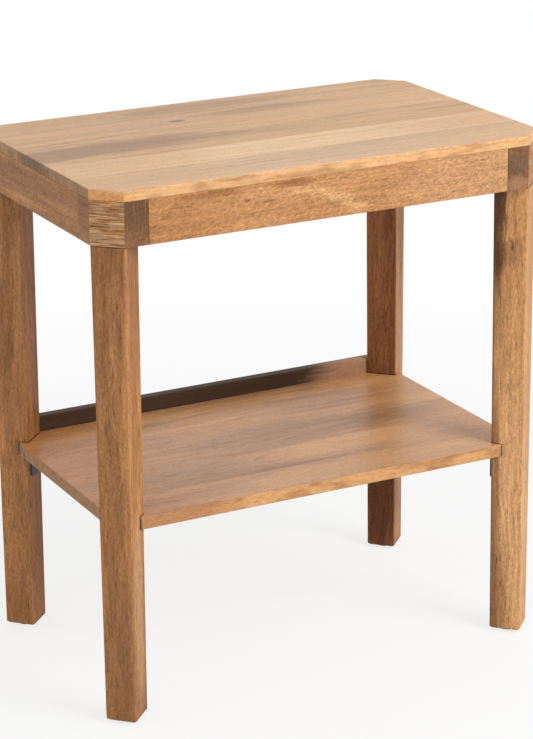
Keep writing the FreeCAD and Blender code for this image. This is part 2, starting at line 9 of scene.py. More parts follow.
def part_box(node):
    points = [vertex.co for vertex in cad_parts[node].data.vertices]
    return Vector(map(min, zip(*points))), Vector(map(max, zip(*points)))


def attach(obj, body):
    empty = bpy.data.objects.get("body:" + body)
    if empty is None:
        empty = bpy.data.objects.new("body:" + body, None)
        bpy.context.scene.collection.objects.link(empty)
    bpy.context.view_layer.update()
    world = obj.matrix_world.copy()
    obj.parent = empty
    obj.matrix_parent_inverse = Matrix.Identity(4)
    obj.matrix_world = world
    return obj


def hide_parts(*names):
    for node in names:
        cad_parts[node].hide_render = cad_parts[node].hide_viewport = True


bl_info = {
    "name": "Side Table Finish",
    "version": (1, 0, 0),
    "blender": (4, 5, 0),
    "location": "View3D > Sidebar > Side Table",
    "description": "Wood, steel and nylon finishes for a side table, with its screws and studio",
    "category": "Object",
}

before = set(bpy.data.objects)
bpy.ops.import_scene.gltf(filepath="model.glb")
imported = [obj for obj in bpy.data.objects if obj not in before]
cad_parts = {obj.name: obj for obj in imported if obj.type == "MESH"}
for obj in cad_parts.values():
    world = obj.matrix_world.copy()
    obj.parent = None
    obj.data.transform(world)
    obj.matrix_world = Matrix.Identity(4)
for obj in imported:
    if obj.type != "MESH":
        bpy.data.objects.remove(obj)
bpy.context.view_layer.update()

MM = 0.001
# Each corner, and the way inward from it, in degrees from the X axis
CORNERS = {"front_left": 45, "front_right": 135, "rear_right": 225, "rear_left": 315}
TOP_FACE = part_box("top_board_1")[1].z
TOP_EDGE = TOP_FACE - 7 * MM
LEFT_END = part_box("top_board_3")[0].x
FRONT_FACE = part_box("front_apron")[0].y
SHELF_BOTTOM, SHELF_TOP = (corner.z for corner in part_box("shelf_board_3"))
# The brackets' width and thickness, and how far their holes lie from the bend
BRACKET_WIDTH = 29 * MM
BRACKET_METAL = 2 * MM
BRACKET_HOLE_REACH = 18 * MM
# How far inward of a leg's middle, along X and Y, the painted shadow lines at the shelf are centred
LEG_INWARD = 13 * MM
# How far the outer shelf boards' notches reach from the boards' corners
NOTCH_REACH = 27.4 * MM
# How far the painted shadow lines reach: at the blocks' and legs' joints, at the shelf's faces and
# notches
JOINT_SHADOW_REACH = 1.4 * MM
SHELF_SHADOW_REACH = 1.6 * MM
NOTCH_SHADOW_REACH = 3 * MM


def srgb(red, green, blue):
    """A colour written as it looks on screen, 0 to 255, as the linear values that shaders take."""

    def linear(value):
        share = value / 255
        return share / 12.92 if share <= 0.04045 else ((share + 0.055) / 1.055) ** 2.4

    return (linear(red), linear(green), linear(blue))


def way_inward(corner):
    """The level direction from a corner to the table's inside."""
    turn = math.radians(CORNERS[corner])
    return Vector((math.cos(turn), math.sin(turn), 0))


# Settings


def colour(name, description, default):
    """A colour that a user can change."""
    return bpy.props.FloatVectorProperty(
        name=name, description=description, default=default, subtype="COLOR", min=0, max=1
    )


class TableWoodSettings(bpy.types.PropertyGroup):
    """Colours and surface of the oiled wood."""

    top_light: colour("Top light", "Pale wood of the top", srgb(234, 190, 142))
    top_dark: colour("Top dark", "Grey-brown streaks of the top", srgb(172, 130, 96))
    top_edge: colour("Top edge", "Yellower edges of the top boards", srgb(226, 174, 118))
    frame_light: colour("Frame light", "Golden wood of the aprons", srgb(204, 150, 98))
    frame_dark: colour("Frame dark", "Darker figure of the aprons", srgb(148, 98, 56))
    block_light: colour("Block light", "Paler grain of the corner blocks", srgb(184, 134, 88))
    block_dark: colour("Block dark", "End grain of the corner blocks", srgb(130, 92, 62))
    leg_gold: colour("Leg gold", "Palest of the legs' wood", srgb(216, 162, 106))
    leg_light: colour("Leg light", "Golden wood of the legs", srgb(184, 130, 80))
    leg_dark: colour("Leg dark", "Brown streaks of the legs", srgb(122, 78, 44))
    shelf_light: colour("Shelf light", "Pale wood of the shelf", srgb(214, 164, 116))
    shelf_dark: colour("Shelf dark", "Grey-brown streaks of the shelf", srgb(134, 96, 68))
    shelf_edge: colour("Shelf edge", "Yellower edges of the shelf", srgb(212, 156, 98))
    # The rail's colours are painted light and shade: dark where it stands in shade, paler where
    # light reaches its right end
    rail_shade: colour("Rail dark", "Dark wood of the rail", srgb(80, 60, 46))
    rail_lit_end: colour("Rail light", "The rail's paler right end", srgb(182, 142, 112))
    roughness: bpy.props.FloatProperty(
        name="Roughness", description="Roughness of the oiled wood", default=0.42, min=0.1, max=1
    )


class TableHardwareSettings(bpy.types.PropertyGroup):
    """Colours and sizes of the brackets, screws, bolts and glides."""

    bracket: colour("Bracket", "Dark lacquered steel of the brackets", srgb(62, 68, 76))
    screw: colour("Screw", "Zinc plate of the screws and bolts", srgb(196, 194, 184))
    insert: colour("Insert", "Yellow zinc of the inserts", srgb(198, 176, 120))
    glide: colour("Glide", "Nylon of the foot glides", srgb(60, 56, 52))
    head_diameter: bpy.props.FloatProperty(
        name="Head", description="Diameter of the screws' heads", default=8 * MM, unit="LENGTH"
    )
    head_height: bpy.props.FloatProperty(
        name="Head height", description="Height of the heads", default=2.4 * MM, unit="LENGTH"
    )
    shank_diameter: bpy.props.FloatProperty(
        name="Shank", description="Diameter of the screws' shanks", default=4 * MM, unit="LENGTH"
    )
    shank_length: bpy.props.FloatProperty(
        name="Shank length", description="Length of the shanks", default=12 * MM, unit="LENGTH"
    )


class TableStudioSettings(bpy.types.PropertyGroup):
    """Floor, light and camera."""

    floor: colour("Floor", "Pale floor", srgb(240, 240, 240))
    sky: bpy.props.FloatProperty(
        name="Sky", description="Strength of the even light all round", default=0.6, min=0
    )
    key: bpy.props.FloatProperty(
        name="Key", description="Power of the large lamp at the front right", default=60, min=0
    )
    lens: bpy.props.FloatProperty(
        name="Lens", description="Focal length of the camera in mm", default=121.6, min=1
    )


# Materials

# Each kind of figure: its noise's waves per metre along X, Y and Z, with the grain turned onto X,
# then its detail and its roughness
FIGURES = {
    "mottle": ((2.4, 17, 17), 3.0, 0.5),
    "streak": ((4.2, 85, 85), 4.0, 0.62),
    "ragged": ((14, 120, 120), 3.0, 0.6),
    "blotch": ((22, 90, 90), 2.0, 0.5),
    "line": ((11, 300, 300), 4.0, 0.66),
    "fibre": ((30, 1100, 1100), 2.0, 0.55),
    "pore": ((52, 520, 520), 2.0, 0.6),
    "ray": ((1, 620, 70), 3.0, 0.6),
    "scratch": ((2500, 240, 2500), 3.0, 0.6),
    "tarnish": ((130, 130, 130), 2.0, 0.5),
    "moulding": ((2200, 2200, 2200), 2.0, 0.5),
    "scuff": ((300, 300, 300), 4.0, 0.7),
}
# The grain's slow wander and small ripple: waves per metre, and how far they move it
WANDERS = (((3.2, 12, 12), 22 * MM), ((16, 45, 45), 3.5 * MM))
# The two sets of flecks: waves per metre, share of the tilt, and share of the strength
FLECKS = (((70, 470, 470), 1.0, 0.8), ((90, 520, 520), -0.8, 0.5))
RING_SCALE = 48.0
# How far apart, along the log, two pieces lie whose seeds differ by one
SEED_STRIDE = 1.37
# How far round a knot the grain bends, in the knot's reaches, and by how many of its radii
KNOT_BEND = 3.4
KNOT_PUSH = 1.7
# A patch's usual softness, how far ragged noise moves its rim, and the rim's place, in reaches
SOFTNESS = 0.6
RAGGEDNESS = 0.9
RIM = 1.15
# What rings, painted side shade, pores and end grain multiply the wood's colour by
RING_SHADE = (0.80, 0.70, 0.60)
PAINTED_SIDE_SHADE = (0.56, 0.46, 0.38)
PORE_SHADE = (0.58, 0.50, 0.44)
END_SHADE = (0.60, 0.58, 0.60)
# How a piece's length is turned onto the grain's X axis, and the axis itself
GRAINS = {
    "along": ((0, 0, 0), (1, 0, 0)),
    "across": ((0, 0, -math.pi / 2), (0, 1, 0)),
    "upright": ((0, math.pi / 2, 0), (0, 0, 1)),
}


def add_node(tree, kind, inputs=None, **settings):
    """Adds a shader node, sets it up, and sets or links its inputs by name or number."""
    node = tree.nodes.new(f"ShaderNode{kind}")
    for name, setting in settings.items():
        setattr(node, name, setting)
    for name, given in (inputs or {}).items():
        socket = node.inputs[name]
        if isinstance(given, bpy.types.NodeSocket):
            tree.links.new(given, socket)
        else:
            socket.default_value = given
    return node


def new_material(name):
    """An empty material with its output, and the output's surface socket."""
    material = bpy.data.materials.new(name)
    material.use_nodes = True
    tree = material.node_tree
    tree.nodes.clear()
    output = tree.nodes.new("ShaderNodeOutputMaterial")
    return material, tree, output.inputs["Surface"]


def add_shader(tree, surface, height, strength, depth, inputs):
    """Joins a shader to the output, with a bump of some height, strength and depth in metres."""
    bump = add_node(tree, "Bump", {"Strength": strength, "Distance": depth, "Height": height})
    shader = add_node(tree, "BsdfPrincipled", {"Normal": bump.outputs[0], **inputs})
    tree.links.new(shader.outputs[0], surface)


def stretch(tree, vector, scale, location=(0, 0, 0), rotation=(0, 0, 0)):
    """A place that is scaled, turned and then moved."""
    inputs = {"Vector": vector, "Location": location, "Rotation": rotation, "Scale": scale}
    return add_node(tree, "Mapping", inputs).outputs[0]


def noise(tree, vector, detail=2.0, roughness=0.5, distortion=0.0):
    """A noise's value and colour, which lie about a half."""
    inputs = {
        "Vector": vector,
        "Scale": 1.0,
        "Detail": detail,
        "Roughness": roughness,
        "Distortion": distortion,
    }
    return add_node(tree, "TexNoise", inputs).outputs


def figure(tree, kind, place):
    """The value of one kind of figure at a place."""
    waves, detail, roughness = FIGURES[kind]
    return noise(tree, stretch(tree, place, waves), detail, roughness)[0]


def remap(tree, value, low, high, to_low=0.0, to_high=1.0, smooth=False):
    """A value carried from one range to another, and held at its ends."""
    inputs = {0: value, 1: low, 2: high, 3: to_low, 4: to_high}
    kind = "SMOOTHSTEP" if smooth else "LINEAR"
    return add_node(tree, "MapRange", inputs, interpolation_type=kind).outputs[0]


def math_node(tree, operation, first, second=0.0, third=0.0, clamp=False):
    """An operation on numbers, of which most take two and MULTIPLY_ADD three."""
    inputs = {0: first, 1: second, 2: third}
    return add_node(tree, "Math", inputs, operation=operation, use_clamp=clamp).outputs[0]


def vector_math(tree, operation, first, second=None):
    """A vector operation's result, as a number for DOT_PRODUCT and LENGTH."""
    inputs = {0: first} if second is None else {0: first, 1: second}
    node = add_node(tree, "VectorMath", inputs, operation=operation)
    return node.outputs["Value" if operation in ("DOT_PRODUCT", "LENGTH") else 0]


def swing(tree, value, strength, middle=0.0, clamp=False):
    """A value that lies about a half, as one that swings about a middle."""
    return math_node(tree, "MULTIPLY_ADD", value, strength, middle - strength / 2, clamp)


def faces_along(tree, facing, axis):
    """How squarely a surface faces along an axis, either way, from 0 to 1."""
    return math_node(tree, "ABSOLUTE", vector_math(tree, "DOT_PRODUCT", facing, axis))


def blend(tree, factor, first, second, mode="MIX"):
    """Mixes two colours; each is a socket or three linear values."""
    rgba = [c if isinstance(c, bpy.types.NodeSocket) else (*c, 1.0) for c in (first, second)]
    inputs = {0: factor, 6: rgba[0], 7: rgba[1]}
    return add_node(tree, "Mix", inputs, data_type="RGBA", blend_type=mode).outputs[2]


def brighten(tree, tint, gain):
    """Multiplies a colour by a number."""
    return add_node(tree, "VectorMath", {0: tint, "Scale": gain}, operation="SCALE").outputs[0]


def darken(tree, tint, mask, strength, shade):
    """Multiplies a colour by a shade where the mask is strong."""
    share = math_node(tree, "MULTIPLY", mask, strength, clamp=True)
    return blend(tree, share, tint, shade, "MULTIPLY")


def spot(tree, place, centre, reach):
    """The distance from a place in the piece, in reaches."""
    squeeze = [1 / part for part in reach]
    offset = [-part * by for part, by in zip(centre, squeeze)]
    return vector_math(tree, "LENGTH", stretch(tree, place, squeeze, offset))


def add_patches(tree, tint, place, ragged, patches):
    """Blends in patches, each a centre, reach, colour, strength and, if not the usual, softness.

    Centres are in metres in the table's own frame: X to the right, Y to the back, Z up.
    """
    for centre, reach, patch_colour, strength, *softness in patches:
        spread = (softness[0] if softness else SOFTNESS) / 2
        distance = spot(tree, place, centre, reach)
        rim = math_node(tree, "MULTIPLY_ADD", ragged, RAGGEDNESS, distance)
        mask = remap(tree, rim, RIM - spread, RIM + spread, strength, 0.0, smooth=True)
        tint = blend(tree, mask, tint, patch_colour)
    return tint


def wander_grain(tree, log, wave):
    """The grain wanders slowly and ripples a little along the log."""
    flow = log
    for waves, reach in WANDERS:
        wander = noise(tree, stretch(tree, log, waves), 1.0)[1]
        wander = vector_math(tree, "SUBTRACT", wander, (0.5, 0.5, 0.5))
        moved = vector_math(tree, "MULTIPLY", wander, (0, reach * wave, reach * wave))
        flow = vector_math(tree, "ADD", flow, moved)
    return flow


def bend_round_knots(tree, flow, place, axis, knots):
    """Bends the grain round each knot, and masks the knots' cores, if there are any."""
    cores = None
    for centre, radius, length in knots:
        reach = [radius * length if part else radius for part in axis]
        distance = spot(tree, place, centre, reach)
        around = remap(tree, distance, 0.0, KNOT_BEND, 1.0, 0.0, smooth=True)
        push = math_node(tree, "MULTIPLY", around, radius * KNOT_PUSH)
        moved = add_node(tree, "CombineXYZ", {1: push, 2: push}).outputs[0]
        flow = vector_math(tree, "ADD", flow, moved)
        core = remap(tree, distance, 0.3, 1.25, 1.0, 0.0, smooth=True)
        cores = core if cores is None else math_node(tree, "MAXIMUM", cores, core)
    return flow, cores


def mottled(tree, flow, light, dark, tone, bands, streaks):
    """Broad bands from pale sapwood to darker heartwood, with grey-brown mineral streaks."""
    depth = swing(tree, figure(tree, "mottle", flow), 2.2 * bands, tone, clamp=True)
    tint = blend(tree, depth, light, dark)
    streak = figure(tree, "streak", flow)
    grey = (dark[0] * 0.70, dark[1] * 0.70, dark[2] * 0.73)
    pale = [min(1.0, part * 1.12) for part in light]
    tint = blend(tree, remap(tree, streak, 0.5, 0.78, 0.0, streaks, smooth=True), tint, grey)
    return blend(tree, remap(tree, streak, 0.46, 0.24, 0.0, streaks, smooth=True), tint, pale)


def add_rings(tree, tint, flow, offset, rings):
    """Growth rings about a pith outside the piece."""
    inputs = {
        "Vector": stretch(tree, flow, (0.3, 1, 1), (0, *offset)),
        "Scale": RING_SCALE,
        "Distortion": 5.0,
        "Detail": 3.0,
        "Detail Scale": 0.9,
    }
    ring = add_node(tree, "TexWave", inputs, wave_type="RINGS", rings_direction="X")
    mask = remap(tree, ring.outputs[1], 0.6, 1.0, smooth=True)
    return darken(tree, tint, mask, rings, RING_SHADE)


def add_painted_side_shade(tree, tint, ragged, facing, shaded_side):
    """Darkens, as painted shade, the faces that look to the shaded side, with a wavy border."""
    toward = vector_math(tree, "DOT_PRODUCT", facing, shaded_side)
    wavy = math_node(tree, "MULTIPLY_ADD", ragged, 0.3, toward)
    return darken(tree, tint, remap(tree, wavy, 0.7, 1.0), 1.0, PAINTED_SIDE_SHADE)


def add_sawn_edges(tree, tint, flow, facing, edge):
    """A board's sawn edges keep a yellower colour than its sanded face."""
    side = faces_along(tree, facing, (0, 0, 1))
    side = remap(tree, side, 0.75, 0.45, 0.0, 0.85, smooth=True)
    blotch = remap(tree, figure(tree, "blotch", flow), 0.47, 0.68, 0.0, 0.8, smooth=True)
    browner = [edge[0] * 0.60, edge[1] * 0.50, edge[2] * 0.42]
    return blend(tree, side, tint, blend(tree, blotch, edge, browner))


def add_fine_grain(tree, tint, log, flow, line, lines, flecks, tilt):
    """Brightens and darkens the colour by fine lines, fibres and slanting flecks."""
    gain = swing(tree, line, 1.1 * lines, 1.0)
    gain = math_node(tree, "ADD", gain, swing(tree, figure(tree, "fibre", flow), 0.26))
    for waves, tilt_share, strength_share in FLECKS:
        angle = tilt * tilt_share
        leaning = stretch(tree, log, (1, 1, 1), rotation=(0, angle, angle * 0.6))
        slant = noise(tree, stretch(tree, leaning, waves), 2.0, 0.55, 0.5)[0]
        gain = math_node(tree, "ADD", gain, swing(tree, slant, strength_share * flecks))
    return brighten(tree, tint, gain)


def add_end_grain(tree, tint, end, log, light):
    """End grain drinks more oil, and turns darker and greyer, with pale rays."""
    oiled = blend(tree, 1.0, tint, END_SHADE, "MULTIPLY")
    ray = remap(tree, figure(tree, "ray", log), 0.5, 0.75, 0.0, 0.35)
    return blend(tree, end, tint, blend(tree, ray, oiled, light))


def add_ribs(tree, tint, relief, place, facing, seed, ribs):
    """The clipped corner shows the saw's path: ribs of raised and sunk grain, one over another."""
    x_share, y_share = (faces_along(tree, facing, axis) for axis in ((1, 0, 0), (0, 1, 0)))
    clipped = remap(tree, math_node(tree, "MULTIPLY", x_share, y_share), 0.35, 0.45)
    rib = noise(tree, stretch(tree, place, (32, 32, 560), (seed, 0, 0)), 3.0, 0.6, 0.6)[0]
    broad = noise(tree, stretch(tree, place, (60, 60, 95), (0, seed, 0)), 2.0)[0]
    ground = remap(tree, broad, 0.42, 0.60, smooth=True)
    ground = blend(tree, ground, srgb(178, 124, 78), srgb(192, 148, 106))
    # Over the ribs' own colour, the sunk grain is painted darker as painted shade in the grooves,
    # and the raised grain paler as a painted highlight on the ridges
    sunk = remap(tree, rib, 0.50, 0.68, smooth=True)
    raised = remap(tree, rib, 0.44, 0.32, smooth=True)
    ribbed = blend(tree, sunk, ground, srgb(104, 66, 40))
    ribbed = blend(tree, raised, ribbed, srgb(232, 192, 146))
    tint = blend(tree, math_node(tree, "MULTIPLY", clipped, ribs), tint, ribbed)
    depth = math_node(tree, "MULTIPLY", math_node(tree, "MULTIPLY", rib, clipped), 3.0)
    return tint, math_node(tree, "SUBTRACT", relief, depth)


def make_wood(
    node,
    light,
    dark,
    edge=None,
    grain="along",
    seed=0.0,
    tone=0.4,
    bands=0.8,
    streaks=0.6,
    lines=0.6,
    flecks=0.5,
    tilt=0.5,
    wave=1.0,
    pores=0.6,
    rings=0.3,
    pith=(0.05, -0.04),
    shaded_side=None,
    knots=(),
    patches=(),
    marks=(),
    ribs=0.0,
    roughness=0.42,
    specular=0.3,
):
    """Oiled open-grained wood as it is sawn, for one node.

    Bands, streaks, lines, flecks, pores, rings and ribs are strengths. Tone is where the colour
    lies between light and dark, tilt the flecks' slant in radians, wave how far the grain
    wanders, pith the way from the pith to the piece's middle in metres, and shaded_side the way
    that faces with painted shade look. A knot is a centre, a radius and a length in radii. Patches
    lie under the colour of sawn edges, and marks over it.
    """
    material, tree, surface = new_material(f"{node}_wood")
    rotation, axis = GRAINS[grain]
    texture = add_node(tree, "TexCoord").outputs
    place, facing = texture["Object"], texture["Normal"]
    low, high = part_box(node)
    middle = Euler(rotation).to_matrix() @ ((low + high) / 2)
    log = stretch(tree, place, (1, 1, 1), (seed * SEED_STRIDE, 0, 0), rotation)
    flow = wander_grain(tree, log, wave)
    flow, knot_cores = bend_round_knots(tree, flow, place, axis, knots)

    tint = mottled(tree, flow, light, dark, tone, bands, streaks)
    tint = add_rings(tree, tint, flow, (pith[0] - middle.y, pith[1] - middle.z), rings)
    ragged = figure(tree, "ragged", flow)
    tint = add_patches(tree, tint, place, ragged, patches)
    if shaded_side is not None:
        tint = add_painted_side_shade(tree, tint, ragged, facing, shaded_side)
    if edge is not None:
        tint = add_sawn_edges(tree, tint, flow, facing, edge)
    tint = add_patches(tree, tint, place, ragged, marks)

    line = figure(tree, "line", flow)
    tint = add_fine_grain(tree, tint, log, flow, line, lines, flecks, tilt)
    pits = remap(tree, figure(tree, "pore", flow), 0.58, 0.70, smooth=True)
    tint = darken(tree, tint, pits, 0.85 * pores, PORE_SHADE)
    if knot_cores is not None:
        share = math_node(tree, "MULTIPLY", knot_cores, 0.8)
        tint = blend(tree, share, tint, [part * 0.34 for part in dark])
    end = remap(tree, faces_along(tree, facing, axis), 0.75, 0.9)
    tint = add_end_grain(tree, tint, end, log, light)

    relief = math_node(tree, "MULTIPLY_ADD", pits, -0.9, line)
    if ribs:
        tint, relief = add_ribs(tree, tint, relief, place, facing, seed, ribs)
    dull = remap(tree, line, 0.25, 0.75, roughness - 0.05, roughness + 0.09)
    dull = math_node(tree, "MULTIPLY_ADD", end, 0.16, dull)
    inputs = {"Base Color": tint, "Roughness": dull, "Specular IOR Level": specular}
    add_shader(tree, surface, relief, 0.4, 0.4 * MM, inputs)
    return material


def make_steel(name, tint, roughness, metallic=1.0, brushed=0.5):
    """Plated or lacquered steel with fine scratches and slight blotches."""
    material, tree, surface = new_material(name)
    place = add_node(tree, "TexCoord").outputs["Object"]
    scratch = figure(tree, "scratch", place)
    base = brighten(tree, tint, remap(tree, figure(tree, "tarnish", place), 0.3, 0.7, 0.86, 1.08))
    dull = remap(tree, scratch, 0.2, 0.8, roughness - 0.08, roughness + 0.12)
    inputs = {"Base Color": base, "Roughness": dull, "Metallic": metallic}
    add_shader(tree, surface, scratch, 0.3 * brushed, 0.1 * MM, inputs)
    return material


def make_nylon(name, tint):
    """Moulded nylon, finely grained and scuffed."""
    material, tree, surface = new_material(name)
    place = add_node(tree, "TexCoord").outputs["Object"]
    scuff = figure(tree, "scuff", place)
    base = brighten(tree, tint, remap(tree, scuff, 0.35, 0.75, 0.8, 1.25))
    inputs = {"Base Color": base, "Roughness": remap(tree, scuff, 0.3, 0.7, 0.5, 0.68)}
    add_shader(tree, surface, figure(tree, "moulding", place), 0.4, 0.1 * MM, inputs)
    return material


def dress(node, material):
    """Gives a node one material in all its slots."""
    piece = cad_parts[node]
    if not piece.material_slots:
        piece.data.materials.append(material)
    for slot in piece.material_slots:
        slot.material = material


# Operators


class TABLE_OT_finish_top(bpy.types.Operator):
    """Gives the five boards of the top their own cut of pale wood"""

    bl_idname = "table.finish_top"
    bl_label = "Finish the Top"

    def execute(self, context):
        wood = context.scene.table_wood
        grey = srgb(146, 106, 70)
        light, dark = tuple(wood.top_light), tuple(wood.top_dark)
        deeper = (srgb(220, 171, 117), srgb(152, 108, 70))
        honey, orange = srgb(206, 156, 104), srgb(219, 150, 88)
        umber, tan = srgb(150, 114, 80), srgb(196, 146, 94)
        # From front to back: pale boards with honey ends, then deeper ones with grey streaks
        boards = (
            dict(
                tone=0.38,
                seed=3.1,
                patches=[
                    ((0.24, -0.14, TOP_FACE), (0.15, 0.07, 0.05), honey, 0.4, 0.9),
                    ((-0.24, -0.14, TOP_FACE), (0.17, 0.07, 0.05), honey, 0.45, 0.9),
                ],
                marks=[
                    ((LEFT_END - MM, -0.125, TOP_EDGE), (0.003, 0.06, 0.02), tan, 0.8),
                    ((-0.266, -0.161, 0.606), (0.036, 0.036, 0.008), orange, 0.9),
                ],
            ),
            dict(
                tone=0.02,
                seed=7.7,
                streaks=0.3,
                bands=0.3,
                patches=[
                    ((0.26, -0.07, TOP_FACE), (0.17, 0.06, 0.05), honey, 0.55, 0.9),
                    ((-0.25, -0.07, TOP_FACE), (0.18, 0.06, 0.05), honey, 0.55, 0.9),
                ],
                marks=[((LEFT_END - MM, -0.07, TOP_EDGE), (0.003, 0.06, 0.02), tan, 0.8)],
            ),
            dict(
                tints=deeper,
                tone=0.20,
                seed=12.4,
                patches=[((-0.22, 0.006, TOP_FACE), (0.26, 0.04, 0.05), grey, 0.8)],
                marks=[((LEFT_END - MM, 0.004, TOP_EDGE), (0.003, 0.07, 0.02), umber, 0.9)],
            ),
            dict(
                tints=deeper,
                tone=0.24,
                seed=18.9,
                knots=[((-0.064, 0.089, TOP_FACE - MM), 0.0062, 2.0)],
                patches=[((0.05, 0.10, TOP_FACE), (0.10, 0.022, 0.05), grey, 0.42)],
            ),
            dict(
                tints=deeper,
                tone=0.28,
                seed=25.2,
                patches=[((0.0, 0.145, TOP_FACE), (0.16, 0.022, 0.05), grey, 0.45)],
            ),
        )
        for number, board in enumerate(boards, start=1):
            name = f"top_board_{number}"
            look = dict(bands=0.5, streaks=0.45, lines=0.62, flecks=0.55, pores=0.5, rings=0.2)
            look.update(board)
            material = make_wood(
                name,
                *look.pop("tints", (light, dark)),
                edge=tuple(wood.top_edge),
                pith=(0.05 * (-1) ** number, 0.07),
                roughness=wood.roughness - 0.06,
                specular=0.42,
                **look,
            )
            dress(name, material)
        return {"FINISHED"}


class TABLE_OT_finish_frame(bpy.types.Operator):
    """Gives the aprons and the corner blocks their golden, finely figured wood"""

    bl_idname = "table.finish_frame"
    bl_label = "Finish the Frame"

    def execute(self, context):
        wood = context.scene.table_wood
        light, dark = tuple(wood.frame_light), tuple(wood.frame_dark)
        pale, pinkish = srgb(232, 184, 130), srgb(198, 150, 106)
        deep, russet = srgb(140, 88, 50), srgb(172, 116, 70)
        aprons = {
            "front_apron": dict(
                grain="along",
                seed=2.2,
                tone=0.3,
                knots=[((-0.107, FRONT_FACE - MM, 0.586), 0.0024, 2.0)],
                patches=[
                    ((0.19, FRONT_FACE, 0.578), (0.15, 0.03, 0.05), pinkish, 0.6),
                    ((-0.21, FRONT_FACE, 0.575), (0.09, 0.03, 0.05), russet, 0.55, 0.9),
                    # A pale figure that curves down across the front
                    ((-0.040, FRONT_FACE, 0.589), (0.028, 0.02, 0.0055), pale, 0.40, 0.9),
                    ((-0.016, FRONT_FACE, 0.584), (0.024, 0.02, 0.0060), pale, 0.45, 0.9),
                    ((0.004, FRONT_FACE, 0.577), (0.020, 0.02, 0.0070), pale, 0.45, 0.9),
                    ((0.018, FRONT_FACE, 0.569), (0.017, 0.02, 0.0080), pale, 0.45, 0.9),
                    ((0.030, FRONT_FACE, 0.560), (0.014, 0.02, 0.0080), pale, 0.40, 0.9),
                    # Darker grain along the upper edge
                    ((-0.05, FRONT_FACE, 0.599), (0.035, 0.02, 0.006), deep, 0.7),
                    ((-0.15, FRONT_FACE, 0.598), (0.05, 0.02, 0.005), deep, 0.5),
                ],
            ),
            "rear_apron": dict(grain="along", seed=31.5, tone=0.4),
            "left_apron": dict(grain="across", seed=44.0, tone=0.75),
            "right_apron": dict(grain="across", seed=52.3, tone=0.35),
        }
        for name, board in aprons.items():
            material = make_wood(
                name,
                light,
                dark,
                bands=0.75,
                streaks=0.55,
                lines=0.75,
                flecks=1.5,
                tilt=0.6,
                pores=0.6,
                rings=0.15,
                roughness=wood.roughness + 0.06,
                **board,
            )
            dress(name, material)
        # Stains on the ends of the front blocks
        stains = {
            "front_left": [
                ((-0.236, FRONT_FACE, 0.586), (0.030, 0.01, 0.036), srgb(112, 82, 56), 0.6, 0.9),
                ((-0.246, FRONT_FACE, 0.556), (0.012, 0.01, 0.010), srgb(168, 122, 80), 0.6),
            ],
            "front_right": [
                ((0.238, FRONT_FACE, 0.584), (0.020, 0.01, 0.018), srgb(132, 106, 86), 0.7),
                ((0.236, FRONT_FACE, 0.560), (0.022, 0.01, 0.014), srgb(204, 154, 112), 0.75),
            ],
        }
        # A painted shadow line in the crevice where each block meets the long apron
        crevice_shadow = srgb(60, 38, 24)
        for number, corner in enumerate(CORNERS):
            name = f"{corner}_block"
            low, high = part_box(name)
            inner = min(low[0], high[0], key=abs)
            middle = (low[2] + high[2]) / 2
            crevice_shadow_line = ((inner, low[1], middle), (JOINT_SHADOW_REACH, 0.02, 0.06), crevice_shadow, 0.8)
            material = make_wood(
                name,
                tuple(wood.block_light),
                tuple(wood.block_dark),
                grain="across",
                seed=61.0 + 7.3 * number,
                tone=0.4,
                bands=0.9,
                flecks=0.6,
                rings=0.7,
                pith=(0.03 * (-1) ** number, 0.035),
                patches=[*stains.get(corner, ()), crevice_shadow_line],
                ribs=0.95 if corner == "front_left" else 0.6,
                roughness=wood.roughness + 0.1,
            )
            dress(name, material)
        return {"FINISHED"}


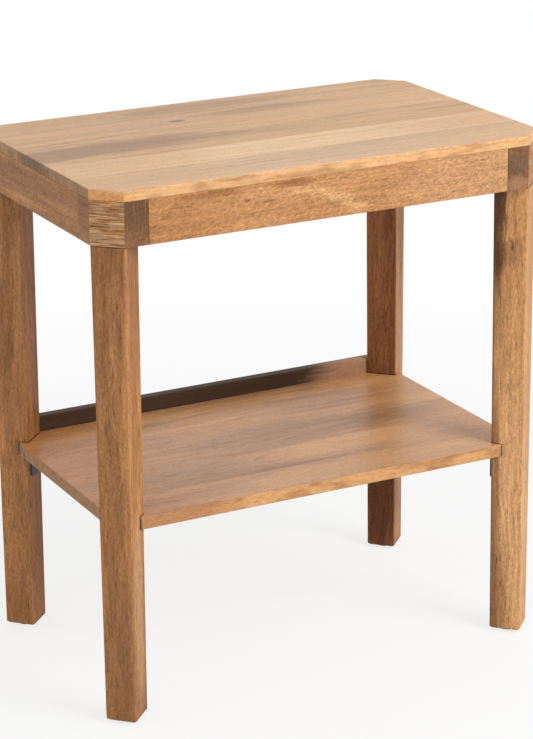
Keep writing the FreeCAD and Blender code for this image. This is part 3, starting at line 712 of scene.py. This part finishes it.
class TABLE_OT_finish_legs(bpy.types.Operator):
    """Gives the four legs their upright grain with dark pores and streaks"""

    bl_idname = "table.finish_legs"
    bl_label = "Finish the Legs"

    def execute(self, context):
        wood = context.scene.table_wood
        gold, light, dark = tuple(wood.leg_gold), tuple(wood.leg_light), tuple(wood.leg_dark)
        brown, umber, amber = srgb(104, 66, 38), srgb(150, 108, 72), srgb(204, 142, 90)
        heart_and_apron_shadow, shadow, sandy = srgb(90, 56, 30), srgb(52, 32, 20), srgb(228, 180, 128)
        chestnut, walnut = srgb(138, 92, 56), srgb(128, 84, 48)
        legs = {
            "front_left": dict(
                light=light,
                dark=dark,
                tone=0.30,
                patches=[
                    # A painted highlight down the corner between the outer and the side face
                    ((-0.253, -0.174, 0.30), (0.011, 0.011, 0.40), amber, 0.6),
                    ((-0.266, -0.161, 0.03), (0.04, 0.04, 0.26), brown, 0.35, 1.2),
                    # A painted warm highlight low on the side face
                    ((-0.240, -0.161, 0.14), (0.017, 0.017, 0.17), sandy, 0.45, 0.9),
                ],
            ),
            "front_right": dict(
                light=gold,
                dark=srgb(160, 108, 64),
                tone=0.16,
                streaks=0.45,
                knots=[((0.2395, -0.1628, 0.482), 0.0018, 3.0)],
                patches=[
                    ((0.240, -0.163, 0.15), (0.03, 0.03, 0.26), sandy, 0.55, 0.9),
                    # A browner foot on the left face
                    ((0.2275, -0.1485, 0.13), (0.012, 0.012, 0.24), chestnut, 0.75),
                    ((0.230, -0.151, 0.02), (0.020, 0.020, 0.13), chestnut, 0.75, 0.9),
                    # Amber and umber round the knot
                    ((0.238, -0.161, 0.442), (0.024, 0.024, 0.022), amber, 0.5),
                    ((0.241, -0.164, 0.476), (0.015, 0.015, 0.024), umber, 0.55),
                    # A brown strip down the left edge, and at the top darker heartwood with a
                    # painted shadow from the apron on it
                    ((0.222, -0.1455, 0.410), (0.022, 0.022, 0.085), umber, 0.7, 0.5),
                    ((0.223, -0.146, 0.330), (0.006, 0.006, 0.24), brown, 0.8),
                    ((0.2255, -0.149, 0.474), (0.015, 0.015, 0.034), brown, 0.8, 0.5),
                    ((0.222, -0.1455, 0.490), (0.020, 0.020, 0.10), heart_and_apron_shadow, 0.85, 0.4),
                    ((0.222, -0.1455, 0.545), (0.023, 0.023, 0.075), heart_and_apron_shadow, 0.95, 0.3),
                ],
            ),
            "rear_right": dict(
                light=srgb(208, 156, 110),
                dark=srgb(140, 96, 60),
                tone=0.36,
                patches=[
                    # Painted shade low on the inner face, under the shelf
                    ((0.238, 0.133, 0.10), (0.03, 0.03, 0.19), srgb(116, 72, 30), 0.9),
                    ((0.266, 0.133, 0.52), (0.030, 0.030, 0.25), walnut, 0.9),
                ],
                # Painted shade on the faces that look inward, under the table
                shaded_side=way_inward("rear_right"),
            ),
            "rear_left": dict(light=light, dark=dark, tone=0.4),
        }
        for number, (corner, leg) in enumerate(legs.items()):
            name = f"{corner}_leg"
            look = dict(bands=0.8, streaks=0.7, lines=1.1, flecks=1.1, pores=1.1, rings=0.25)
            look.update(leg)
            # Painted shadow lines where the leg stands against its block and where the shelf holds
            # it
            low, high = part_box(name)
            middle = [(low[axis] + high[axis]) / 2 for axis in (0, 1)]
            held = [part - math.copysign(LEG_INWARD, part) for part in middle]
            shadow_lines = [
                ((*middle, high[2]), (0.05, 0.05, JOINT_SHADOW_REACH), shadow, 0.85),
                ((*held, SHELF_TOP), (0.03, 0.03, SHELF_SHADOW_REACH), shadow, 0.9),
                ((*held, SHELF_BOTTOM), (0.03, 0.03, SHELF_SHADOW_REACH), shadow, 0.9),
            ]
            look["patches"] = [*look.get("patches", ()), *shadow_lines]
            material = make_wood(
                name,
                grain="upright",
                seed=80.0 + 9.1 * number,
                tilt=0.45,
                wave=1.8,
                pith=(0.035 * (-1) ** number, 0.045),
                roughness=wood.roughness + 0.06,
                specular=0.26,
                **look,
            )
            dress(name, material)
        return {"FINISHED"}


class TABLE_OT_finish_shelf(bpy.types.Operator):
    """Gives the shelf boards their pale wood, and the rail painted shade with painted light on its
    right end
    """

    bl_idname = "table.finish_shelf"
    bl_label = "Finish the Shelf"

    def execute(self, context):
        wood = context.scene.table_wood
        tones = (0.34, 0.40, 0.52, 0.30, 0.20)
        golden, sandy, shadow = srgb(184, 118, 56), srgb(216, 160, 106), srgb(60, 38, 24)
        rosy, ashen, russet = srgb(222, 172, 122), srgb(168, 128, 94), srgb(178, 122, 78)
        for number, tone in enumerate(tones, start=1):
            name = f"shelf_board_{number}"
            low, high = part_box(name)
            across = (low[1] + high[1]) / 2
            patches = [
                ((low[0], across, SHELF_TOP), (0.16, 0.09, 0.05), golden, 0.6, 0.9),
                ((high[0], across, SHELF_TOP), (0.14, 0.09, 0.05), sandy, 0.5, 0.9),
            ]
            marks = []
            # The front board is paler, with a browner end to its edge, and the next turns grey
            if number == 1:
                patches.append(((0.03, across, SHELF_TOP), (0.21, 0.05, 0.05), rosy, 0.65, 0.9))
                marks.append(((-0.19, low[1], SHELF_BOTTOM), (0.09, 0.012, 0.04), russet, 0.8))
            if number == 2:
                patches.append(((-0.14, across, SHELF_TOP), (0.17, 0.045, 0.05), ashen, 0.7, 0.9))
                patches.append(((0.13, across, SHELF_TOP), (0.17, 0.045, 0.05), rosy, 0.6, 0.9))
            # The outer boards end in a painted shadow line against each leg
            outer = {1: low[1], 5: high[1]}.get(number)
            if outer is not None:
                inner = outer - math.copysign(NOTCH_REACH, outer)
                for side in (low[0], high[0]):
                    notched = side - math.copysign(NOTCH_REACH, side)
                    for place in ((notched, outer), (side, inner)):
                        centre = (*place, (SHELF_TOP + SHELF_BOTTOM) / 2)
                        marks.append((centre, (NOTCH_SHADOW_REACH, NOTCH_SHADOW_REACH, 0.02), shadow, 0.9))
            material = make_wood(
                name,
                tuple(wood.shelf_light),
                tuple(wood.shelf_dark),
                edge=tuple(wood.shelf_edge),
                seed=120.0 + 6.7 * number,
                tone=tone,
                bands=1.15,
                streaks=0.65,
                lines=0.45,
                flecks=0.7,
                wave=2.2,
                pores=0.6,
                rings=0.15,
                pith=(0.04 * (-1) ** number, -0.06),
                patches=patches,
                marks=marks,
                roughness=wood.roughness - 0.11,
                specular=0.5,
            )
            dress(name, material)
        # The rail is painted dark as shade under the top, and the patch at its right end is painted
        # light
        low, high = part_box("rear_rail")
        lit_right_end = (high[0] - 10 * MM, low[1], (low[2] + high[2]) / 2)
        rail = make_wood(
            "rear_rail",
            tuple(wood.rail_shade),
            [part * 0.55 for part in wood.rail_shade],
            seed=171.0,
            tone=0.3,
            bands=0.6,
            streaks=0.3,
            flecks=0.5,
            patches=[(lit_right_end, (0.105, 0.06, 0.06), tuple(wood.rail_lit_end), 0.9)],
            roughness=wood.roughness + 0.12,
            specular=0.2,
        )
        dress("rear_rail", rail)
        return {"FINISHED"}


class TABLE_OT_finish_hardware(bpy.types.Operator):
    """Gives the brackets, bolts, inserts and glides their metal and nylon"""

    bl_idname = "table.finish_hardware"
    bl_label = "Finish the Hardware"

    def execute(self, context):
        hardware = context.scene.table_hardware
        lacquer = make_steel(
            "bracket_lacquer", tuple(hardware.bracket), roughness=0.42, metallic=0.4, brushed=0.4
        )
        bolt_zinc = make_steel("bolt_zinc", tuple(hardware.screw), roughness=0.32)
        insert_zinc = make_steel("insert_zinc", tuple(hardware.insert), roughness=0.35)
        nylon = make_nylon("glide_nylon", tuple(hardware.glide))
        for corner in CORNERS:
            dress(f"{corner}_bracket", lacquer)
            dress(f"{corner}_glide", nylon)
        dress("leg_bolts", bolt_zinc)
        dress("leg_inserts", insert_zinc)
        return {"FINISHED"}


# The head: its straight side's share of the height, then the rings of the crown, each with its
# share of the last one's width and its rise's share of the height
SIDE_SHARE = 0.45
CROWN_SHARES = ((0.88, 0.28), (0.8, 0.18), (0.7, 0.09))
# The recess: a blade's length and thickness as shares of the head's radius, and its depth and its
# middle's place as shares of the height
BLADE_SHARES = (1.05, 0.2, 0.9)
BLADE_RISE_SHARE = 1.02
# The shank: the straight part's and the point's shares of the length, and the tip's of the width
SHANK_SHARE = 0.68
POINT_SHARE = 0.32
TIP_SHARE = 0.12
HEAD_SIDES = 32
SMOOTH_ANGLE = math.radians(35)
LEAST_FACES = 100


def deselect_all():
    """Leaves edit mode, if need be, with nothing selected."""
    if bpy.context.object and bpy.context.object.mode != "OBJECT":
        bpy.ops.object.mode_set(mode="OBJECT")
    bpy.ops.object.select_all(action="DESELECT")


def edit_faces(piece, wanted):
    """Goes into edit mode with only the wanted faces of a piece selected."""
    bpy.ops.object.mode_set(mode="EDIT")
    bpy.ops.mesh.select_all(action="DESELECT")
    bpy.ops.object.mode_set(mode="OBJECT")
    for polygon in piece.data.polygons:
        polygon.select = wanted(polygon)
    bpy.ops.object.mode_set(mode="EDIT")
    bpy.ops.mesh.select_mode(type="FACE")


def draw_out(rise, width=1.0):
    """Extrudes the selected faces up or down, and scales their width."""
    bpy.ops.mesh.extrude_region_move(TRANSFORM_OT_translate={"value": (0, 0, rise)})
    bpy.ops.transform.resize(value=(width, width, 1))


class TABLE_OT_model_screws(bpy.types.Operator):
    """Models one pan-head screw with a cross recess and puts a copy at each bracket hole"""

    bl_idname = "table.model_screws"
    bl_label = "Model the Screws"

    def execute(self, context):
        hardware = context.scene.table_hardware
        screw = self.shape(context, hardware)
        zinc = make_steel("screw_zinc", tuple(hardware.screw), roughness=0.3)
        screw.data.materials.append(zinc)
        for corner in CORNERS:
            for arm in ("leg", "shelf"):
                copy = screw.copy()
                copy.data = screw.data.copy()
                copy.name = f"{corner}_{arm}_screw"
                context.collection.objects.link(copy)
                copy.data.transform(self.seat(corner, arm))
                copy.data.update()
                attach(copy, "root")
                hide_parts("bracket_screws")
        bpy.data.objects.remove(screw)
        return {"FINISHED"}

    def shape(self, context, hardware):
        """One screw, upright, with the underside of its head at the origin."""
        radius, height = hardware.head_diameter / 2, hardware.head_height
        length = hardware.shank_length
        side = height * SIDE_SHARE
        deselect_all()
        bpy.ops.mesh.primitive_cylinder_add(
            vertices=HEAD_SIDES, radius=radius, depth=side, location=(0, 0, side / 2)
        )
        screw = context.object
        screw.name = "bracket_screw_pattern"
        bpy.ops.object.transform_apply(location=True, rotation=True, scale=True)
        # The crown: rings drawn in and up to a shallow dome
        edit_faces(screw, lambda face: face.normal.z > 0.9)
        for width_share, rise_share in CROWN_SHARES:
            draw_out(height * rise_share, width_share)
        # The shank: drawn in from the underside, then down, then in to the point
        edit_faces(screw, lambda face: face.normal.z < -0.9)
        bpy.ops.mesh.inset(thickness=radius - hardware.shank_diameter / 2)
        draw_out(-length * SHANK_SHARE)
        draw_out(-length * POINT_SHARE, TIP_SHARE)
        bpy.ops.object.mode_set(mode="OBJECT")
        for turn in (0, math.pi / 2):
            self.cut_recess(context, screw, radius, height, turn)
        bpy.ops.object.shade_smooth_by_angle(angle=SMOOTH_ANGLE)
        if len(screw.data.polygons) < LEAST_FACES:
            raise RuntimeError("the screw lost its shape")
        return screw

    def cut_recess(self, context, screw, radius, height, turn):
        """Cuts one of the cross recess's two blades into the crown."""
        long_share, thick_share, deep_share = BLADE_SHARES
        bpy.ops.mesh.primitive_cube_add(
            size=1,
            location=(0, 0, height * BLADE_RISE_SHARE),
            rotation=(0, 0, turn),
            scale=(radius * long_share, radius * thick_share, height * deep_share),
        )
        blade = context.object
        bpy.ops.object.transform_apply(location=True, rotation=True, scale=True)
        cut = screw.modifiers.new("recess", "BOOLEAN")
        cut.operation = "DIFFERENCE"
        cut.solver = "EXACT"
        cut.object = blade
        deselect_all()
        screw.select_set(True)
        context.view_layer.objects.active = screw
        bpy.ops.object.modifier_apply(modifier=cut.name)
        bpy.data.objects.remove(blade)

    def seat(self, corner, arm):
        """The placement of a screw's head on the middle of a bracket's arm."""
        low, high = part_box(f"{corner}_bracket")
        inward, down = way_inward(corner), Vector((0, 0, -1))
        half = BRACKET_WIDTH / 2 * math.sqrt(0.5)
        bend = Vector((0, 0, high.z))
        bend.x = low.x + half if inward.x > 0 else high.x - half
        bend.y = low.y + half if inward.y > 0 else high.y - half
        spin = Matrix.Rotation(math.radians(CORNERS[corner]), 4, "Z")
        if arm == "leg":
            at = bend + inward * BRACKET_METAL + down * BRACKET_HOLE_REACH
            return Matrix.Translation(at) @ spin @ Matrix.Rotation(math.pi / 2, 4, "Y")
        at = bend + inward * BRACKET_HOLE_REACH + down * BRACKET_METAL
        return Matrix.Translation(at) @ spin @ Matrix.Rotation(math.pi, 4, "X")


# The floor's width, how far it lies under the glides, and where it fades out round the table
FLOOR_WIDTH = 60
FLOOR_DROP = 0.5 * MM
FLOOR_FADE = (0.55, 1.6)
# How much of the floor is plain white to the camera, the rest being lit
FLOOR_WHITE_SHARE = 0.78
# Each lamp's place, the point that it faces, its width and its share of the key's power
LAMPS = {
    "key_lamp": ((1.35, -2.3, 2.2), (0, 0, 0.35), 1.5, 1.0),
    "fill_lamp": ((-2.2, -1.6, 1.6), (0, 0, 0.3), 1.8, 0.12),
}
# The camera fitted to the photo: its place, its turn, dip and roll in degrees, the lens's shift,
# the sensor's width in mm and how far it sees, in metres
CAMERA_PLACE = (-1.2812, -2.4757, 1.2739)
CAMERA_TURN = -27.397
CAMERA_DIP = 16.756
CAMERA_ROLL = -0.595
CAMERA_SHIFT = (0.004, -0.12)
SENSOR_WIDTH = 36
CLIP_END = 100


class TABLE_OT_build_studio(bpy.types.Operator):
    """Builds the pale floor, the even sky, the soft lamps and the camera"""

    bl_idname = "table.build_studio"
    bl_label = "Build the Studio"

    def execute(self, context):
        studio = context.scene.table_studio
        scene = context.scene
        scene.view_settings.view_transform = "Standard"
        deselect_all()
        bpy.ops.mesh.primitive_plane_add(size=FLOOR_WIDTH, location=(0, 0, -FLOOR_DROP))
        floor = context.object
        floor.name = "studio_floor"
        floor.data.materials.append(self.floor_material(tuple(studio.floor)))
        self.sky(scene, studio.sky)
        for name, (place, target, width, share) in LAMPS.items():
            self.lamp(name, place, target, width, studio.key * share)
        self.camera(scene, studio.lens)
        return {"FINISHED"}

    def floor_material(self, tint):
        """Pale and matt, whitened to the camera but for the shadow, and clear far out and below."""
        material, tree, surface = new_material("studio_floor")
        base = add_node(tree, "BsdfDiffuse", {"Color": (*tint, 1.0)})
        white = add_node(tree, "Emission", {"Color": (1, 1, 1, 1), "Strength": 1.0})
        seen = add_node(tree, "LightPath").outputs["Is Camera Ray"]
        share = math_node(tree, "MULTIPLY", seen, FLOOR_WHITE_SHARE)
        pale = add_node(tree, "MixShader", {0: share, 1: base.outputs[0], 2: white.outputs[0]})
        clear = add_node(tree, "BsdfTransparent")
        place = add_node(tree, "TexCoord").outputs["Object"]
        far = remap(tree, vector_math(tree, "LENGTH", place), *FLOOR_FADE, smooth=True)
        far = math_node(tree, "MULTIPLY", far, seen)
        back = add_node(tree, "NewGeometry").outputs["Backfacing"]
        gone = math_node(tree, "MAXIMUM", far, back)
        both = add_node(tree, "MixShader", {0: gone, 1: pale.outputs[0], 2: clear.outputs[0]})
        tree.links.new(both.outputs[0], surface)
        return material

    def sky(self, scene, strength):
        """Even light on the table, and plain white to the camera and in reflections."""
        world = bpy.data.worlds.new("studio_sky")
        world.use_nodes = True
        tree = world.node_tree
        tree.nodes.clear()
        rays = add_node(tree, "LightPath").outputs
        seen = math_node(tree, "MAXIMUM", rays["Is Camera Ray"], rays["Is Glossy Ray"])
        seen = math_node(tree, "MAXIMUM", seen, rays["Is Transmission Ray"])
        level = remap(tree, seen, 0.0, 1.0, strength, 1.0)
        light = add_node(tree, "Background", {"Color": (1, 1, 1, 1), "Strength": level})
        output = add_node(tree, "OutputWorld")
        tree.links.new(light.outputs[0], output.inputs["Surface"])
        scene.world = world

    def lamp(self, name, place, target, width, power):
        """A large square lamp that faces the table."""
        deselect_all()
        bpy.ops.object.light_add(type="AREA", location=place)
        lamp = bpy.context.object
        lamp.name = name
        lamp.data.shape = "SQUARE"
        lamp.data.size = width
        lamp.data.energy = power
        lamp.visible_glossy = False
        aim = Vector(target) - Vector(place)
        lamp.rotation_euler = aim.to_track_quat("-Z", "Y").to_euler()

    def camera(self, scene, lens):
        """The photograph's view: from the front left, a little above the top."""
        deselect_all()
        bpy.ops.object.camera_add(location=CAMERA_PLACE)
        camera = bpy.context.object
        camera.name = "studio_camera"
        turn = Matrix.Rotation(math.radians(CAMERA_TURN), 3, "Z")
        dip = Matrix.Rotation(math.radians(90 - CAMERA_DIP), 3, "X")
        roll = Matrix.Rotation(math.radians(CAMERA_ROLL), 3, "Z")
        camera.rotation_euler = (turn @ dip @ roll).to_euler()
        camera.data.sensor_width = SENSOR_WIDTH
        camera.data.lens = lens
        camera.data.shift_x, camera.data.shift_y = CAMERA_SHIFT
        camera.data.clip_end = CLIP_END
        scene.camera = camera


class TABLE_PT_finish(bpy.types.Panel):
    """Lists the steps of the finish"""

    bl_label = "Side Table"
    bl_idname = "TABLE_PT_finish"
    bl_space_type = "VIEW_3D"
    bl_region_type = "UI"
    bl_category = "Side Table"

    def draw(self, context):
        for step in STEPS:
            self.layout.operator(step.bl_idname)
        for group in SETTINGS:
            settings = getattr(context.scene, group)
            for name in settings.__annotations__:
                self.layout.prop(settings, name)


STEPS = (
    TABLE_OT_finish_top,
    TABLE_OT_finish_frame,
    TABLE_OT_finish_legs,
    TABLE_OT_finish_shelf,
    TABLE_OT_finish_hardware,
    TABLE_OT_model_screws,
    TABLE_OT_build_studio,
)
SETTINGS = {
    "table_wood": TableWoodSettings,
    "table_hardware": TableHardwareSettings,
    "table_studio": TableStudioSettings,
}


def register():
    for group in SETTINGS.values():
        bpy.utils.register_class(group)
    for name, group in SETTINGS.items():
        setattr(bpy.types.Scene, name, bpy.props.PointerProperty(type=group))
    for step in (*STEPS, TABLE_PT_finish):
        bpy.utils.register_class(step)


def unregister():
    for step in (TABLE_PT_finish, *reversed(STEPS)):
        bpy.utils.unregister_class(step)
    for name in SETTINGS:
        delattr(bpy.types.Scene, name)
    for group in reversed(SETTINGS.values()):
        bpy.utils.unregister_class(group)


def main():
    register()
    bpy.ops.table.finish_top()
    bpy.ops.table.finish_frame()
    bpy.ops.table.finish_legs()
    bpy.ops.table.finish_shelf()
    bpy.ops.table.finish_hardware()
    bpy.ops.table.model_screws()
    bpy.ops.table.build_studio()


if __name__ == "__main__":
    main()
